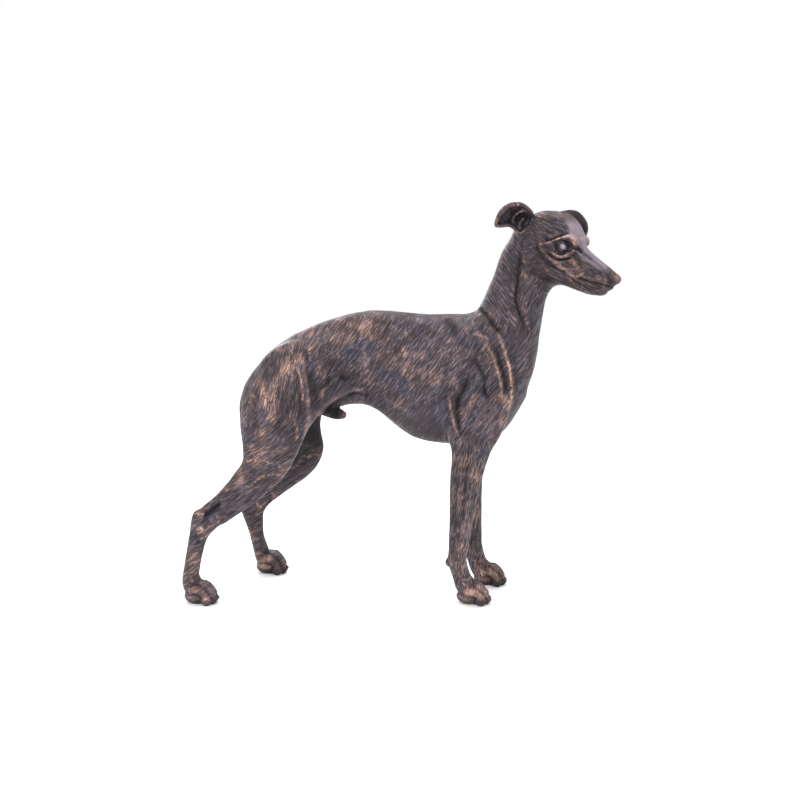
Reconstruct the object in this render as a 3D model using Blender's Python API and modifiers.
"""Greyhound statue: a standing greyhound cast in one piece, looking round to its right.

The dog faces +X with its mid-plane at Y = 0, and it stands on Z = 0. The form is drawn in
millimetres at the size below and follows the statue's height. Trunk, neck, head and legs are
lofts between unlike sections. They are fused, smoothed where they flow together, carved with
ridges and grooves, and joined by the ears, eyes, feet and tail.
"""

import math

import bmesh
import bpy
import numpy as np
from mathutils import Matrix, Vector

# Driving dimensions: the statue's height, and the height at which the form is drawn
HEIGHT = 0.700
DRAWN_HEIGHT = 696.0
MM = HEIGHT / DRAWN_HEIGHT

# Level in the drawing at which the soles are cut flat
SOLE_LEVEL = 3.5

# Grain of the two fusing passes, and the number of faces kept
COARSE_GRAIN = 4.0
FINE_GRAIN = 2.0
FACES_KEPT = 9400

# Where the legs' crisp smoothing gives way to the trunk's, and where the muzzle's begins
LEG_TO_TRUNK_Z = (220, 310)
MUZZLE_FROM_X = (265, 300)
MUZZLE_FROM_Z = (520, 545)

# Where the head's own carving takes over from that of the flanks and neck, along a leaning border
HEAD_BORDER_X = (222, 236)
HEAD_BORDER_Z = (470, 560)
HEAD_BORDER_LEAN = 0.25
HEAD_BORDER_LEVEL = 600
HEAD_FROM_X = 150
HEAD_FROM_Z = 500

# Feet: length, half of the width and radius of the main pad
FOOT_LENGTH = 64.0
FOOT_HALF_WIDTH = 19.5
PAD_RADIUS = 15.0
TOES_ACROSS = (-0.74, -0.26, 0.26, 0.74)

# Ears and eyes
NEAR_EAR_THICKNESS = 4.5
FAR_EAR_THICKNESS = 4.0
EYE_RADIUS = 11.0
EYE_CENTRE = (85, 28.5, 4)

# Head: where the occiput lies, how far the head turns to the dog's right and how far it drops
OCCIPUT = Vector((212, -2, 664))
HEAD_TURN = math.radians(28)
HEAD_DROP = math.radians(27)
HEAD_AHEAD = Vector(
    (
        math.cos(HEAD_DROP) * math.cos(HEAD_TURN),
        -math.cos(HEAD_DROP) * math.sin(HEAD_TURN),
        -math.sin(HEAD_DROP),
    )
)
HEAD_LEFT = Vector((math.sin(HEAD_TURN), math.cos(HEAD_TURN), 0))
HEAD_UP = HEAD_AHEAD.cross(HEAD_LEFT)

# Trunk from rump to breast: x and z of the back, x and z of the belly, half-width,
# and how much wider the upper half is than the lower
TRUNK = [
    (-281, 374, -282, 338, 10, 0.0),
    (-274, 390, -276, 322, 24, 0.0),
    (-255, 415, -260, 310, 35, 0.0),
    (-228, 446, -226, 308, 43, 0.05),
    (-192, 471, -187, 316, 45, 0.05),
    (-151, 490, -147, 327, 42, 0.05),
    (-114, 504, -113, 342, 38, 0.05),
    (-75, 514, -80, 350, 37, 0.08),
    (-32, 517, -45, 342, 42, 0.12),
    (42, 511, 24, 292, 58, 0.18),
    (108, 511, 105, 281, 60, 0.16),
    (142, 496, 147, 286, 54, 0.10),
    (176, 470, 181, 305, 45, 0.0),
    (204, 438, 205, 340, 33, -0.1),
    (222, 412, 220, 368, 14, 0.0),
]

# Neck from the withers up: x, y, z of the nape, x, y, z of the throat, half-width
NECK = [
    (50, 0, 476, 190, 0, 320, 36),
    (86, 0, 500, 212, 0, 362, 46),
    (118, 0, 513, 228, 0, 402, 48),
    (134, 0, 522, 236, 0, 440, 45),
    (156, -2, 572, 246, -7, 526, 34.5),
    (170, -4, 614, 256, -19, 556, 33),
    (184, -5, 637, 266, -28, 563, 34),
    (204, -6, 654, 280, -38, 570, 34),
]

# Head from the occiput to the nose, in the head's own frame:
# distance ahead, top, bottom, half-width, and how much wider the upper half is
SKULL = [
    (-8, 2, -42, 22, 0.0),
    (4, 20, -56, 32, 0.0),
    (20, 35, -64, 37, 0.0),
    (39, 44, -66, 41, 0.0),
    (58, 48, -66, 41, 0.0),
    (76, 43, -66, 40, 0.08),
    (95, 32, -62, 34, 0.12),
    (115, 16, -57, 22, 0.06),
    (162, 7.5, -47, 15.5, 0.0),
    (183, 3, -26, 10.5, 0.1),
    (188, -2, -14, 5, 0.1),
]

# Legs downwards: x and z of the front edge, x and z of the back edge, distance from the
# mid-plane and half-width. The near legs are the dog's right ones.
NEAR_FORELEG = [
    (190, 352, 80, 352, 44, 18),
    (184, 326, 80, 326, 48, 21),
    (170, 298, 84, 300, 50, 21),
    (159, 278, 90, 278, 50, 19),
    (142, 220, 88, 218, 48, 15),
    (130, 158, 88, 158, 46, 12.5),
    (122, 101, 87, 99, 46, 13.5),
    (120, 83, 85, 81, 46, 14),
    (128, 55, 95, 50, 46, 12.5),
    (138, 44, 99, 34, 46, 14),
    (144, 30, 106, 20, 46, 14),
]
FAR_FORELEG = [
    (190, 352, 80, 352, 44, 18),
    (184, 326, 82, 326, 48, 21),
    (156, 278, 92, 278, 50, 19),
    (149, 222, 100, 220, 48, 15),
    (147, 160, 106, 158, 46, 12.5),
    (148, 100, 112, 98, 46, 13.5),
    (149, 80, 110, 78, 46, 14),
    (157, 52, 121, 48, 46, 12.5),
    (168, 43, 126, 32, 46, 14),
    (174, 28, 133, 18, 46, 14),
]
NEAR_HIND_LEG = [
    (-136, 452, -236, 418, 32, 16),
    (-120, 420, -258, 384, 40, 26),
    (-122, 384, -274, 350, 46, 32),
    (-134, 346, -276, 318, 52, 33),
    (-154, 318, -272, 294, 58, 30),
    (-174, 272, -270, 262, 66, 24),
    (-200, 231, -284, 240, 69, 19),
    (-249, 187, -310, 208, 69, 15),
    (-298, 151, -346, 176, 69, 11),
    (-317, 140, -361, 166, 70, 12.5),
    (-338, 114, -368, 126, 72, 12),
    (-350, 60, -381, 56, 77, 12),
    (-345, 45, -382, 37, 78, 13),
    (-340, 28, -376, 18, 78, 13),
]
FAR_HIND_LEG = [
    (-136, 452, -236, 418, 32, 16),
    (-120, 420, -258, 384, 40, 26),
    (-124, 380, -272, 344, 46, 32),
    (-151, 306, -256, 290, 59, 31),
    (-147, 252, -244, 253, 68, 23),
    (-165, 211, -251, 228, 70, 18.5),
    (-206, 177, -272, 199, 71, 15),
    (-248, 145, -304, 167, 72, 11),
    (-262, 129, -317, 152, 73, 12.5),
    (-266, 113, -310, 130, 73, 13),
    (-266, 80, -295, 83, 74, 11),
    (-256, 48, -286, 36, 76, 12),
    (-248, 34, -280, 20, 76, 13),
]

# Feet: x of the heel, distance from the mid-plane, side, and how high the knuckles arch
FEET = {
    "near_forefoot": (98.5, 46, -1, 1.0),
    "far_forefoot": (129.5, 46, 1, 3.0),
    "near_hind_foot": (-383, 78, -1, 4.0),
    "far_hind_foot": (-287, 76, 1, 7.0),
}

# Round runs, each as x, y, z and radius: the tail tucked between the thighs, the fold of skin
# from the thigh to the belly on each side, and the sheath
TAIL = [
    (-246, 0, 398, 13),
    (-261, 0, 386, 12),
    (-280, 0, 346, 9.5),
    (-279, 0, 298, 8),
    (-268, -5, 250, 6.8),
    (-246, -22, 192, 4.4),
]
FLANK_FOLD = [
    (-160, 50, 322, 7),
    (-146, 48, 346, 8),
    (-128, 43, 364, 8),
    (-108, 37, 379, 8),
    (-84, 30, 391, 7),
]
SHEATH = [
    (-148, 0, 344, 11),
    (-128, 0, 338, 12),
    (-112, 0, 333, 11),
    (-102, 0, 331, 8),
    (-96, 0, 331, 4),
]

# Ear rims and the floor of each bowl, in the head's own frame as ahead, left and up.
# The near ear folds back with its bowl open to the side.
NEAR_EAR_RIM = [
    (19, -29, 22),
    (11, -35, 31),
    (-10, -44, 34),
    (-26, -50, 16),
    (-28, -53, -17),
    (-6, -47, -7),
    (14, -42, -10),
    (22, -34, 5),
]
NEAR_EAR_FLOOR = (-3, -27, 6)
NEAR_EAR_FLAP = [(-7, -46, 32, 3.5), (-19, -50, 24, 4.8), (-27, -53, 7, 5), (-28, -53, -14, 3)]
NEAR_EAR_FOLDS = [
    [(-2, -34, -8, 3), (-10, -36, 4, 3.2), (-6, -37, 18, 3), (4, -34, 26, 2.6)],
    [(10, -36, -8, 3), (4, -35, 2, 3), (6, -34, 14, 2.6)],
]
# Folds of skin over and under each eye
BROW_FOLD = [
    (54, 39, -9, 1.5),
    (67, 39, 0, 2.6),
    (79, 36, 12, 3.6),
    (90, 33, 21, 4.2),
    (99, 30, 20, 4.2),
    (104, 27, 13, 3.0),
]
LID_BAG = [
    (71, 38, -8, 1.5),
    (82, 37, -12, 2.6),
    (94, 33, -10, 3.2),
    (103, 29, -2, 3.4),
    (106, 25, 7, 2.4),
]
# The far ear stands up from its root and drops forward
FAR_EAR_RIM = [
    (22, 33, 18),
    (31, 37, 37),
    (54, 44, 51),
    (78, 47, 43),
    (88, 47, 28),
    (84, 46, 18),
    (62, 45, 13),
    (32, 39, 2),
]
FAR_EAR_FLOOR = (46, 28, 24)

# Carving on both flanks, seen from the side: height, width and x, z points.
# A height below zero is a groove.
SIDE_CARVING = {
    "neck crease": (-4.0, 4.5, [(118, 537), (147, 511), (178, 474)]),
    "shoulder edge": (4.0, 4.0, [(165, 490), (178, 458), (191, 408), (193, 380), (186, 352)]),
    "second shoulder edge": (2.6, 3.6, [(148, 474), (164, 434), (172, 406), (176, 376)]),
    "between the edges": (-2.4, 3.6, [(161, 468), (172, 438), (180, 408), (184, 378)]),
    "shoulder blade": (2.4, 5.0, [(128, 498), (149, 455), (157, 420)]),
    "blade top": (-1.6, 3.0, [(118, 480), (128, 488), (140, 487), (153, 478)]),
    "behind the blade": (-2.4, 7.0, [(80, 508), (92, 488), (104, 456)]),
    "arm groove": (-2.8, 4.5, [(122, 452), (134, 431), (146, 408), (147, 386), (159, 361)]),
    "behind the arm": (-4.0, 5.0, [(123, 418), (113, 392), (102, 368), (101, 341), (107, 308)]),
    "triceps": (1.8, 6.0, [(112, 334), (122, 362), (134, 388)]),
    "elbow": (2.2, 3.6, [(86, 384), (90, 354), (97, 328), (104, 308)]),
    "thigh edge": (3.6, 4.0, [(-172, 462), (-158, 418), (-151, 352), (-161, 300)]),
    "behind the thigh edge": (-2.4, 4.5, [(-178, 436), (-168, 400), (-164, 364), (-167, 326)]),
    "before the thigh edge": (-3.0, 5.0, [(-160, 456), (-146, 414), (-139, 378), (-138, 350)]),
    "hip": (3.0, 12.0, [(-189, 424), (-192, 418)]),
    "haunch": (2.5, 9.0, [(-237, 396), (-226, 374), (-218, 352)]),
    "mid thigh": (-2.4, 6.0, [(-197, 388), (-197, 352), (-203, 318)]),
    "rear thigh": (-2.6, 5.0, [(-226, 412), (-241, 380), (-242, 340), (-237, 302)]),
    "flank hollow": (-1.6, 8.0, [(-141, 360), (-130, 390), (-108, 405), (-84, 396), (-58, 386)]),
    "flank edge": (2.2, 3.6, [(-172, 274), (-150, 322), (-126, 354), (-98, 374), (-70, 383), (-46, 378)]),
    "under the flank": (-3.4, 4.5, [(-138, 330), (-120, 348), (-97, 364), (-74, 373), (-48, 368)]),
    "belly seam": (1.5, 6.0, [(-60, 384), (-30, 372), (40, 332)]),
    "calf": (-2.0, 5.0, [(-206, 292), (-236, 262), (-262, 236)]),
    "shin": (2.2, 5.0, [(-301, 210), (-276, 224), (-255, 238)]),
    "shin hollow": (-2.0, 4.5, [(-292, 196), (-262, 214), (-232, 232)]),
    "shin edge": (1.8, 3.0, [(-252, 184), (-222, 212), (-174, 259)]),
    "hock hollow": (-4.5, 4.2, [(-304, 191), (-321, 176), (-340, 161)]),
    "ankle": (3.0, 5.0, [(-344, 143), (-342, 139)]),
    "instep": (1.6, 3.0, [(-346, 132), (-332, 138)]),
    "foreleg tendon": (-2.0, 3.6, [(122, 300), (118, 250), (111, 140)]),
    "foreleg bone": (1.6, 4.0, [(134, 262), (126, 220), (116, 118)]),
    "foreleg rear": (-1.6, 3.6, [(101, 285), (101, 232), (100, 120)]),
    "neck groove": (-3.2, 4.0, [(201, 628), (198, 569), (196, 540), (205, 512), (216, 488)]),
    "neck cord": (2.0, 6.0, [(213, 596), (209, 538), (219, 510)]),
}
RIBS = 7
RIB_SPACING = 24
RIB_HEIGHT = 1.3
RIB_WIDTH = 6.0
FIRST_RIB = [(68, 468), (62, 440), (68, 400), (82, 356)]

# Carving on both sides of the head, seen from its side: height, width and ahead, up points
HEAD_CARVING = {
    "eye socket": (-4.0, 10.0, [(83, 4), (88, 3)]),
    "mouth": (-1.6, 2.4, [(176, -19), (165, -21), (149, -26), (126, -30)]),
    "upper lip": (1.5, 3.0, [(178, -10), (149, -20), (124, -24)]),
    "lower lip": (1.2, 2.8, [(168, -28), (149, -32), (124, -36)]),
    "corner of the lips": (-1.8, 2.5, [(112, -23), (107, -33), (118, -39), (135, -44)]),
    "under the cheekbone": (-2.8, 4.0, [(46, -12), (58, -20), (72, -27), (98, -33)]),
    "cheekbone": (2.2, 4.0, [(48, -5), (62, -12), (80, -19), (104, -23)]),
    "jaw": (-2.5, 4.5, [(18, -16), (27, -36), (38, -52), (57, -59), (98, -55)]),
    "temple": (-2.6, 4.0, [(57, 0), (70, 11), (80, 22)]),
    "under the eye": (-1.8, 2.6, [(71, -14), (83, -18), (97, -15), (110, -4)]),
    "eye corner": (-1.6, 3.4, [(95, 13), (104, 12), (118, 8)]),
    "nasal bone": (-1.0, 3.0, [(112, 7), (135, 4), (160, 1)]),
}
# Carving on the middle of the face: height, width and points ahead, out and up
MUZZLE_CARVING = {
    "forehead": (-2.0, 6.0, [(44, 0, 43), (66, 0, 43), (104, 0, 24)]),
    "front of the mouth": (-2.6, 2.4, [(189, 0, -16), (184, 7, -18), (174, 12, -20)]),
    "nostril": (-3.5, 1.9, [(188, 4.5, -6), (186, 7, -6), (182, 9, -7)]),
    "notch in the lip": (-1.5, 1.6, [(191, 0, -7), (189, 0, -16)]),
}

# Patina: dark purplish brown bronze rubbed with copper
PATINA_COLOUR = (0.105, 0.085, 0.095, 1.0)
PATINA_METALLIC = 0.35
PATINA_ROUGHNESS = 0.5


def clear_scene():
    for obj in list(bpy.data.objects):
        bpy.data.objects.remove(obj)


def ramp(value, low, high):
    """A smooth step from 0 at low to 1 at high."""
    t = np.clip((value - low) / (high - low), 0, 1)
    return t * t * (3 - 2 * t)


def smooth_curve(rows, steps=8):
    """A smooth curve through rows of numbers, with this many steps between two rows."""
    rows = np.array(rows, float)
    rows = np.vstack([2 * rows[0] - rows[1], rows, 2 * rows[-1] - rows[-2]])
    points = []
    for i in range(1, len(rows) - 2):
        a, b, c, d = rows[i - 1 : i + 3]
        for t in np.arange(steps) / steps:
            bend = (c - a) * t + (2 * a - 5 * b + 4 * c - d) * t**2 + (3 * b - a - 3 * c + d) * t**3
            points.append(b + 0.5 * bend)
    points.append(rows[-2])
    return np.array(points)


def head_point(ahead, left, up):
    return OCCIPUT + HEAD_AHEAD * ahead + HEAD_LEFT * left + HEAD_UP * up


def head_direction(ahead, left, up):
    return HEAD_AHEAD * ahead + HEAD_LEFT * left + HEAD_UP * up


def mesh_object(name, points, faces):
    mesh = bpy.data.meshes.new(name)
    mesh.from_pydata([tuple(Vector(p) * MM) for p in points], [], faces)
    mesh.update()
    obj = bpy.data.objects.new(name, mesh)
    bpy.context.scene.collection.objects.link(obj)
    return obj


def loft(name, upper, lower, half_width, lean=None, around=36):
    """A closed body through oval sections, each from an upper edge point to a lower one."""
    upper = np.asarray(upper, float)
    lower = np.asarray(lower, float)
    lean = np.zeros(len(upper)) if lean is None else lean
    middle = (upper + lower) / 2
    reach = (upper - lower) / 2
    side = np.cross(reach, np.gradient(middle, axis=0))
    side /= np.linalg.norm(side, axis=1)[:, None]
    turn = np.arange(around) * 2 * math.pi / around
    width = half_width[:, None] * (1 + lean[:, None] * np.cos(turn)) * np.sin(turn)
    points = middle[:, None] + reach[:, None] * np.cos(turn)[:, None] + side[:, None] * width[:, :, None]
    faces = [tuple(range(around))[::-1], tuple((len(points) - 1) * around + j for j in range(around))]
    for i in range(len(points) - 1):
        for j in range(around):
            k = (j + 1) % around
            faces.append((i * around + j, i * around + k, (i + 1) * around + k, (i + 1) * around + j))
    return mesh_object(name, points.reshape(-1, 3), faces)


def make_trunk():
    rows = smooth_curve(TRUNK)
    flat = np.zeros(len(rows))
    back = np.stack([rows[:, 0], flat, rows[:, 1]], 1)
    belly = np.stack([rows[:, 2], flat, rows[:, 3]], 1)
    return loft("trunk", back, belly, rows[:, 4], rows[:, 5])


def make_neck():
    rows = smooth_curve(NECK)
    return loft("neck", rows[:, 0:3], rows[:, 3:6], rows[:, 6])


def make_skull():
    rows = smooth_curve(SKULL)
    top = [head_point(ahead, 0, up) for ahead, up in rows[:, [0, 1]]]
    bottom = [head_point(ahead, 0, up) for ahead, up in rows[:, [0, 2]]]
    return loft("skull", top, bottom, rows[:, 3], rows[:, 4])


def make_leg(name, rows, side):
    rows = smooth_curve(rows)
    front = np.stack([rows[:, 0], side * rows[:, 4], rows[:, 1]], 1)
    back = np.stack([rows[:, 2], side * rows[:, 4], rows[:, 3]], 1)
    return loft(name, front, back, rows[:, 5])


def to_mesh(obj):
    """The object as a mesh of its own, with its modifiers worked in."""
    graph = bpy.context.evaluated_depsgraph_get()
    mesh = bpy.data.meshes.new_from_object(obj.evaluated_get(graph))
    if obj.type == "MESH":
        obj.modifiers.clear()
        obj.data = mesh
        return obj
    made = bpy.data.objects.new(obj.name, mesh)
    made.matrix_world = obj.matrix_world
    bpy.context.scene.collection.objects.link(made)
    bpy.data.objects.remove(obj)
    return made


def make_tube(name, rows):
    """A round run through rows of x, y, z and radius."""
    rows = smooth_curve(rows, 5)
    curve = bpy.data.curves.new(name, "CURVE")
    curve.dimensions = "3D"
    curve.bevel_depth = 1.0
    curve.bevel_resolution = 4
    curve.use_fill_caps = True
    spline = curve.splines.new("POLY")
    spline.points.add(len(rows) - 1)
    for point, (x, y, z, radius) in zip(spline.points, rows):
        point.co = (x * MM, y * MM, z * MM, 1)
        point.radius = radius * MM
    obj = bpy.data.objects.new(name, curve)
    bpy.context.scene.collection.objects.link(obj)
    tube = to_mesh(obj)
    welded = bmesh.new()
    welded.from_mesh(tube.data)
    bmesh.ops.remove_doubles(welded, verts=welded.verts, dist=0.00001)
    welded.to_mesh(tube.data)
    welded.free()
    return tube


def make_head_tube(name, rows):
    return make_tube(name, [(*head_point(ahead, left, up), radius) for ahead, left, up, radius in rows])


def make_egg(name, centre, radii, forward=(1, 0, 0), up=(0, 0, 1), segments=24):
    """An ellipsoid whose first radius lies along forward and whose third lies nearest up."""
    bpy.ops.mesh.primitive_uv_sphere_add(segments=segments, ring_count=segments // 2, radius=1)
    obj = bpy.context.object
    obj.name = name
    forward = Vector(forward).normalized()
    side = Vector(up).cross(forward).normalized()
    turned = Matrix((forward, side, forward.cross(side))).transposed().to_4x4()
    sized = Matrix.Diagonal((*(radius * MM for radius in radii), 1))
    obj.data.transform(Matrix.Translation(Vector(centre) * MM) @ turned @ sized)
    return obj


def make_head_egg(name, centre, radii, forward=(1, 0, 0)):
    return make_egg(name, head_point(*centre), radii, head_direction(*forward), HEAD_UP, 20)


def make_masses():
    """The large forms, which are fused and smoothed together."""
    made = [make_trunk(), make_neck(), make_skull(), make_tube("tail", TAIL)]
    made.append(make_leg("near_foreleg", NEAR_FORELEG, -1))
    made.append(make_leg("far_foreleg", FAR_FORELEG, 1))
    made.append(make_leg("near_hind_leg", NEAR_HIND_LEG, -1))
    made.append(make_leg("far_hind_leg", FAR_HIND_LEG, 1))
    for side in (-1, 1):
        made.append(make_egg("shoulder", (142, side * 37, 428), (74, 17, 38), (0.42, 0, -0.9), (1, 0, 0.45)))
        made.append(make_egg("arm", (140, side * 44, 345), (60, 18, 38), (0.75, 0, 0.66)))
        made.append(make_egg("rump", (-192, side * 28, 428), (58, 22, 34), (1, 0, 0.5)))
        made.append(make_tube("flank_fold", [(x, side * y, z, radius) for x, y, z, radius in FLANK_FOLD]))
        made.append(make_egg("flank_web", (-112, side * 24, 379), (46, 16, 17), (0.8, 0, 0.6)))
        made.append(make_egg("flank_hollow", (-122, side * 33, 402), (24, 9.5, 18), (1, 0, 0.3)))
        made.append(make_head_egg("cheek", (60, side * 28, -30), (25, 11, 22)))
        made.append(make_head_egg("temple", (42, side * 22, 24), (27, 13, 15)))
        made.append(make_head_egg("forehead", (71, side * 17, 31), (28, 13, 12), (1, 0, -0.45)))
        made.append(make_head_egg("brow", (94, side * 25, 19), (15, 8, 8), (1, 0, -0.5)))
        made.append(make_head_egg("cheekbone", (72, side * 32, -6), (28, 6, 7), (1, side * -0.25, -0.15)))
    return made


def make_foot(name, heel, out, side, arch):
    """A closed foot: a broad pad behind four arched toes, each with its own pad and nail."""
    centre = side * out
    pad = (23, 0.84 * FOOT_HALF_WIDTH, PAD_RADIUS)
    made = [make_egg(name, (heel + 0.42 * FOOT_LENGTH, centre, 16.5), pad)]
    for across in TOES_ACROSS:
        outer = abs(across) > 0.5
        root = heel - (0.13 * FOOT_LENGTH if outer else 0)
        low = 3 if outer else 0
        y = centre + across * FOOT_HALF_WIDTH
        toe = [
            (root + 0.42 * FOOT_LENGTH, centre + 0.75 * across * FOOT_HALF_WIDTH, 29 + arch - low, 8.0),
            (root + 0.62 * FOOT_LENGTH, y, 32 + arch - low, 8.4),
            (root + 0.79 * FOOT_LENGTH, y, 26 + 0.7 * arch - low, 6.8),
            (root + 0.88 * FOOT_LENGTH, y, 18 - 0.5 * low, 7.0),
        ]
        made.append(make_tube("toe", toe))
        made.append(make_egg("toe_pad", (root + 0.86 * FOOT_LENGTH, y, 12), (9, 6, 9.5)))
        nail = (root + 0.95 * FOOT_LENGTH, y, 13.5)
        made.append(make_egg("nail", nail, (6, 2.4, 3.2), (1, 0, -0.5), segments=10))
    return made


def make_bowl(name, rim, floor, thickness, rings=8):
    """A cupped shell: an open bowl from a rim loop down to its floor, thickened outwards."""
    loop = smooth_curve([*rim, rim[0]], 6)[:-1]
    middle = loop.mean(axis=0)
    sink = np.array(floor, float) - middle
    around = len(loop)
    points = []
    for k in range(rings + 1):
        inward = k / rings
        fall = math.sin(inward * math.pi / 2) ** 0.8
        points += [p + (middle - p) * min(inward, 0.98) + sink * fall for p in loop]
    faces = [tuple(rings * around + j for j in range(around))]
    for k in range(rings):
        for j in range(around):
            n = (j + 1) % around
            faces.append((k * around + j, k * around + n, (k + 1) * around + n, (k + 1) * around + j))
    bowl = mesh_object(name, [head_point(*p) for p in points], faces)
    wall = bowl.modifiers.new("Wall", "SOLIDIFY")
    wall.thickness = thickness * MM
    wall.offset = 0
    return to_mesh(bowl)


def make_ears():
    made = [
        make_bowl("near_ear", NEAR_EAR_RIM, NEAR_EAR_FLOOR, NEAR_EAR_THICKNESS),
        make_bowl("far_ear", FAR_EAR_RIM, FAR_EAR_FLOOR, FAR_EAR_THICKNESS),
        make_head_tube("near_ear_flap", NEAR_EAR_FLAP),
        make_head_egg("near_ear_root", (14, -23, 2), (14, 9, 16)),
        make_head_egg("far_ear_root", (28, 28, 12), (14, 11, 14)),
    ]
    made += [make_head_tube("near_ear_fold", fold) for fold in NEAR_EAR_FOLDS]
    return made


def make_eye(side):
    """An eyeball with a lid above and a lid below it."""
    centre = Vector((EYE_CENTRE[0], side * EYE_CENTRE[1], EYE_CENTRE[2]))
    out = Vector((0.34, side * 0.92, 0.14)).normalized()
    ahead = Vector((0.90, side * -0.34, -0.20))
    ahead = (ahead - out * ahead.dot(out)).normalized()
    fall = ahead.cross(out) * -side
    made = [make_head_egg("eyeball", centre, (EYE_RADIUS, EYE_RADIUS, EYE_RADIUS))]
    for opening, radius in ((0.74, 2.3), (-0.66, 2.0)):
        lid = []
        for along in np.linspace(-1, 1, 5):
            arch = opening * (1 - along**2) - 0.1 * along
            direction = (out + ahead * 0.95 * along + fall * arch).normalized()
            place = centre + direction * EYE_RADIUS
            lid.append((*place, radius * (1 - 0.35 * along**2)))
        made.append(make_head_tube("lid", lid))
    for fold in (BROW_FOLD, LID_BAG):
        rows = [(ahead, side * left, up, radius) for ahead, left, up, radius in fold]
        made.append(make_head_tube("fold", rows))
    return made


def make_details():
    """The small forms, which keep their edges."""
    made = make_ears() + make_eye(-1) + make_eye(1)
    for name, place in FEET.items():
        made += make_foot(name, *place)
    made.append(make_egg("near_wrist_pad", (88, -46, 78), (6, 6, 8)))
    made.append(make_egg("far_wrist_pad", (114, 46, 77), (6, 6, 8)))
    made.append(make_tube("sheath", SHEATH))
    made.append(make_head_egg("nose", (181, 0, -5), (10, 9.5, 8.5)))
    made.append(make_head_egg("chin", (168, 0, -35), (13, 9, 7.5), (1, 0, 0.45)))
    return made


def join(objects, name):
    """One mesh object that holds all of these, still as separate closed shells."""
    grown = bmesh.new()
    for obj in objects:
        grown.from_mesh(obj.data)
        bpy.data.objects.remove(obj)
    mesh = bpy.data.meshes.new(name)
    grown.to_mesh(mesh)
    grown.free()
    joined = bpy.data.objects.new(name, mesh)
    bpy.context.scene.collection.objects.link(joined)
    return joined


def fuse(obj, grain):
    """One closed skin round all the shells of the object."""
    skin = obj.modifiers.new("Fuse", "REMESH")
    skin.mode = "VOXEL"
    skin.voxel_size = grain * MM
    return to_mesh(obj)


def read_vectors(obj, field):
    values = np.empty(len(obj.data.vertices) * 3, np.float32)
    obj.data.vertices.foreach_get(field, values)
    return values.reshape(-1, 3).astype(float)


def soften(obj, turns, weights=None):
    """Smooths the surface, as far as the weights of its points allow."""
    smooth = obj.modifiers.new("Soften", "SMOOTH")
    smooth.factor = 0.5
    smooth.iterations = turns
    if weights is not None:
        group = obj.vertex_groups.new(name="soften")
        for level in range(1, 11):
            chosen = np.where(np.round(weights * 10) == level)[0]
            group.add(chosen.tolist(), level / 10, "REPLACE")
        smooth.vertex_group = "soften"
    to_mesh(obj)
    obj.vertex_groups.clear()


def flow(points):
    """How far the masses flow together: much on the trunk, little on the lower legs and muzzle."""
    x, _, z = points.T
    trunk = 0.14 + 0.86 * ramp(z, *LEG_TO_TRUNK_Z)
    muzzle = ramp(x, *MUZZLE_FROM_X) * ramp(z, *MUZZLE_FROM_Z)
    return trunk * (1 - 0.75 * muzzle)


def distance_to_line(points, line):
    """Distance of each point from a run of straight pieces, and how far along the run that is."""
    lengths = np.linalg.norm(np.diff(line, axis=0), axis=1)
    nearest = np.full(len(points), np.inf)
    share = np.zeros(len(points))
    passed = 0.0
    for start, end, length in zip(line[:-1], line[1:], lengths):
        step = end - start
        t = np.clip(((points - start) @ step) / (step @ step), 0, 1)
        away = np.linalg.norm(points - (start + t[:, None] * step), axis=1)
        closer = away < nearest
        nearest[closer] = away[closer]
        share[closer] = ((passed + t * length) / lengths.sum())[closer]
        passed += length
    return nearest, share


def carving(points, height, width, line, fade):
    """How far a rounded ridge or groove lifts each point, fading out towards its two ends."""
    away, share = distance_to_line(points, smooth_curve(line, 6))
    ends = np.clip(share / fade, 0, 1) * np.clip((1 - share) / fade, 0, 1)
    if len(line) == 2:
        ends = 1.0
    return height * ends * np.exp(-((away / width) ** 2))


def far_leg_lead(x, z):
    """How far ahead of the near legs the far legs stand."""
    hind = 68 * ramp(350 - z, 0, 170) * (x < -60)
    fore = 22 * ramp(300 - z, 0, 200) * (x > 40)
    return hind + fore


def carve(obj):
    points = read_vectors(obj, "co") / MM
    normals = read_vectors(obj, "normal")
    x, y, z = points.T
    seen = np.stack([x - np.where(y > 0, far_leg_lead(x, z), 0), z], 1)
    facing = ramp(np.sign(y) * normals[:, 1], 0.1, 0.6)
    lift = np.zeros(len(points))
    for height, width, line in SIDE_CARVING.values():
        lift += carving(seen, height, width, line, 0.22) * facing
    for rib in range(RIBS):
        line = [(rib_x - rib * RIB_SPACING, rib_z) for rib_x, rib_z in FIRST_RIB]
        lift += carving(seen, RIB_HEIGHT, RIB_WIDTH, line, 0.22) * facing
    # The head takes only its own carving
    beyond = ramp(x - HEAD_BORDER_LEAN * (HEAD_BORDER_LEVEL - z), *HEAD_BORDER_X)
    lift *= 1 - beyond * ramp(z, *HEAD_BORDER_Z)
    head = np.where((x > HEAD_FROM_X) & (z > HEAD_FROM_Z))[0]
    local = (points[head] - np.array(OCCIPUT)) @ np.array([HEAD_AHEAD, HEAD_LEFT, HEAD_UP]).T
    outward = ramp(np.sign(local[:, 1]) * (normals[head] @ np.array(HEAD_LEFT)), 0.05, 0.4)
    local[:, 1] = np.abs(local[:, 1])
    for height, width, line in HEAD_CARVING.values():
        lift[head] += carving(local[:, [0, 2]], height, width, line, 0.12) * outward
    for height, width, line in MUZZLE_CARVING.values():
        lift[head] += carving(local, height, width, line, 0.12)
    moved = (points + normals * lift[:, None]) * MM
    obj.data.vertices.foreach_set("co", moved.astype(np.float32).ravel())
    obj.data.update()


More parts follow.
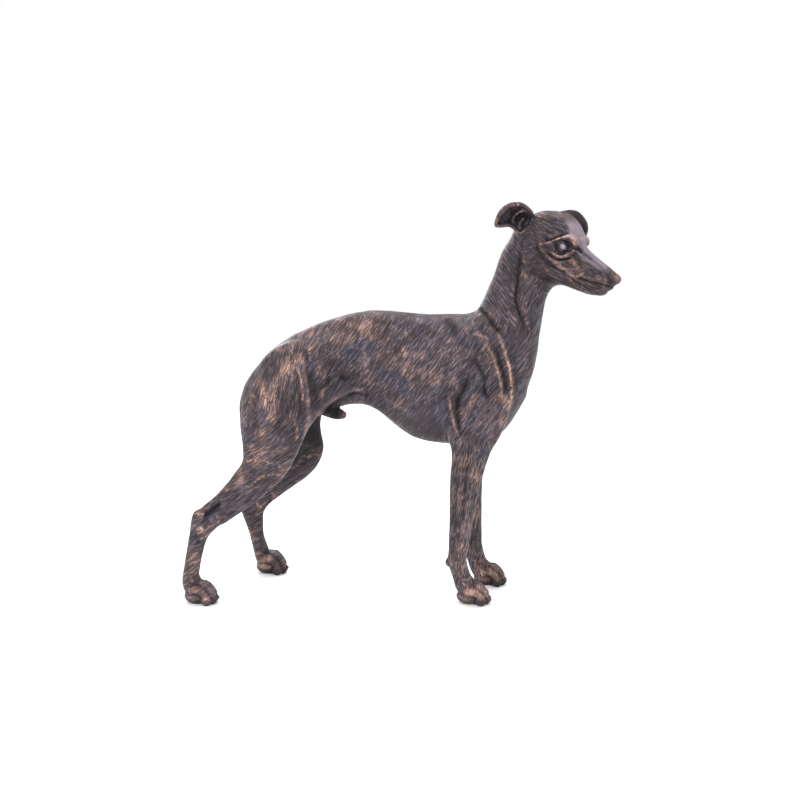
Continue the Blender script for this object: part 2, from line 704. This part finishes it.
def thin_out(obj):
    """Fewer faces, and most of them where the form turns sharply."""
    thin = obj.modifiers.new("Thin out", "DECIMATE")
    thin.ratio = FACES_KEPT / (2 * len(obj.data.polygons))
    to_mesh(obj)


def place(obj):
    """Stands the soles on Z = 0 and centres the figure over the origin."""
    points = read_vectors(obj, "co")
    middle = (points.min(axis=0) + points.max(axis=0)) / 2
    obj.data.transform(Matrix.Translation((-middle[0], -middle[1], -SOLE_LEVEL * MM)))


def cut_soles(obj, cutters):
    """Cuts the four soles flat and level."""
    depth = 20 * MM
    bpy.ops.mesh.primitive_cube_add(size=1, location=(0, 0, -depth / 2))
    ground = bpy.context.object
    ground.name = "ground"
    ground.scale = (2 * HEIGHT, HEIGHT, depth)
    ground.hide_render = True
    ground.display_type = "WIRE"
    move_to(ground, cutters)
    cut = obj.modifiers.new("Soles", "BOOLEAN")
    cut.operation = "DIFFERENCE"
    cut.solver = "EXACT"
    cut.object = ground


def patina():
    material = bpy.data.materials.new("bronze_patina")
    material.use_nodes = True
    surface = material.node_tree.nodes["Principled BSDF"]
    surface.inputs["Base Color"].default_value = PATINA_COLOUR
    surface.inputs["Metallic"].default_value = PATINA_METALLIC
    surface.inputs["Roughness"].default_value = PATINA_ROUGHNESS
    material.diffuse_color = PATINA_COLOUR
    return material


def new_collection(name):
    collection = bpy.data.collections.new(name)
    bpy.context.scene.collection.children.link(collection)
    return collection


def move_to(obj, collection):
    for owner in list(obj.users_collection):
        owner.objects.unlink(obj)
    collection.objects.link(obj)


def make_greyhound():
    dog = join(make_masses(), "greyhound_statue")
    fuse(dog, COARSE_GRAIN)
    soften(dog, 14, flow(read_vectors(dog, "co") / MM))
    fuse(dog, FINE_GRAIN)
    soften(dog, 3)
    carve(dog)
    dog = join([dog, *make_details()], "greyhound_statue")
    fuse(dog, FINE_GRAIN)
    soften(dog, 2)
    thin_out(dog)
    place(dog)
    return dog


def main():
    clear_scene()
    statue = new_collection("Greyhound statue")
    cutters = new_collection("Cutters")
    dog = make_greyhound()
    cut_soles(dog, cutters)
    dog.data.materials.append(patina())
    dog.data.shade_smooth()
    move_to(dog, statue)


main()
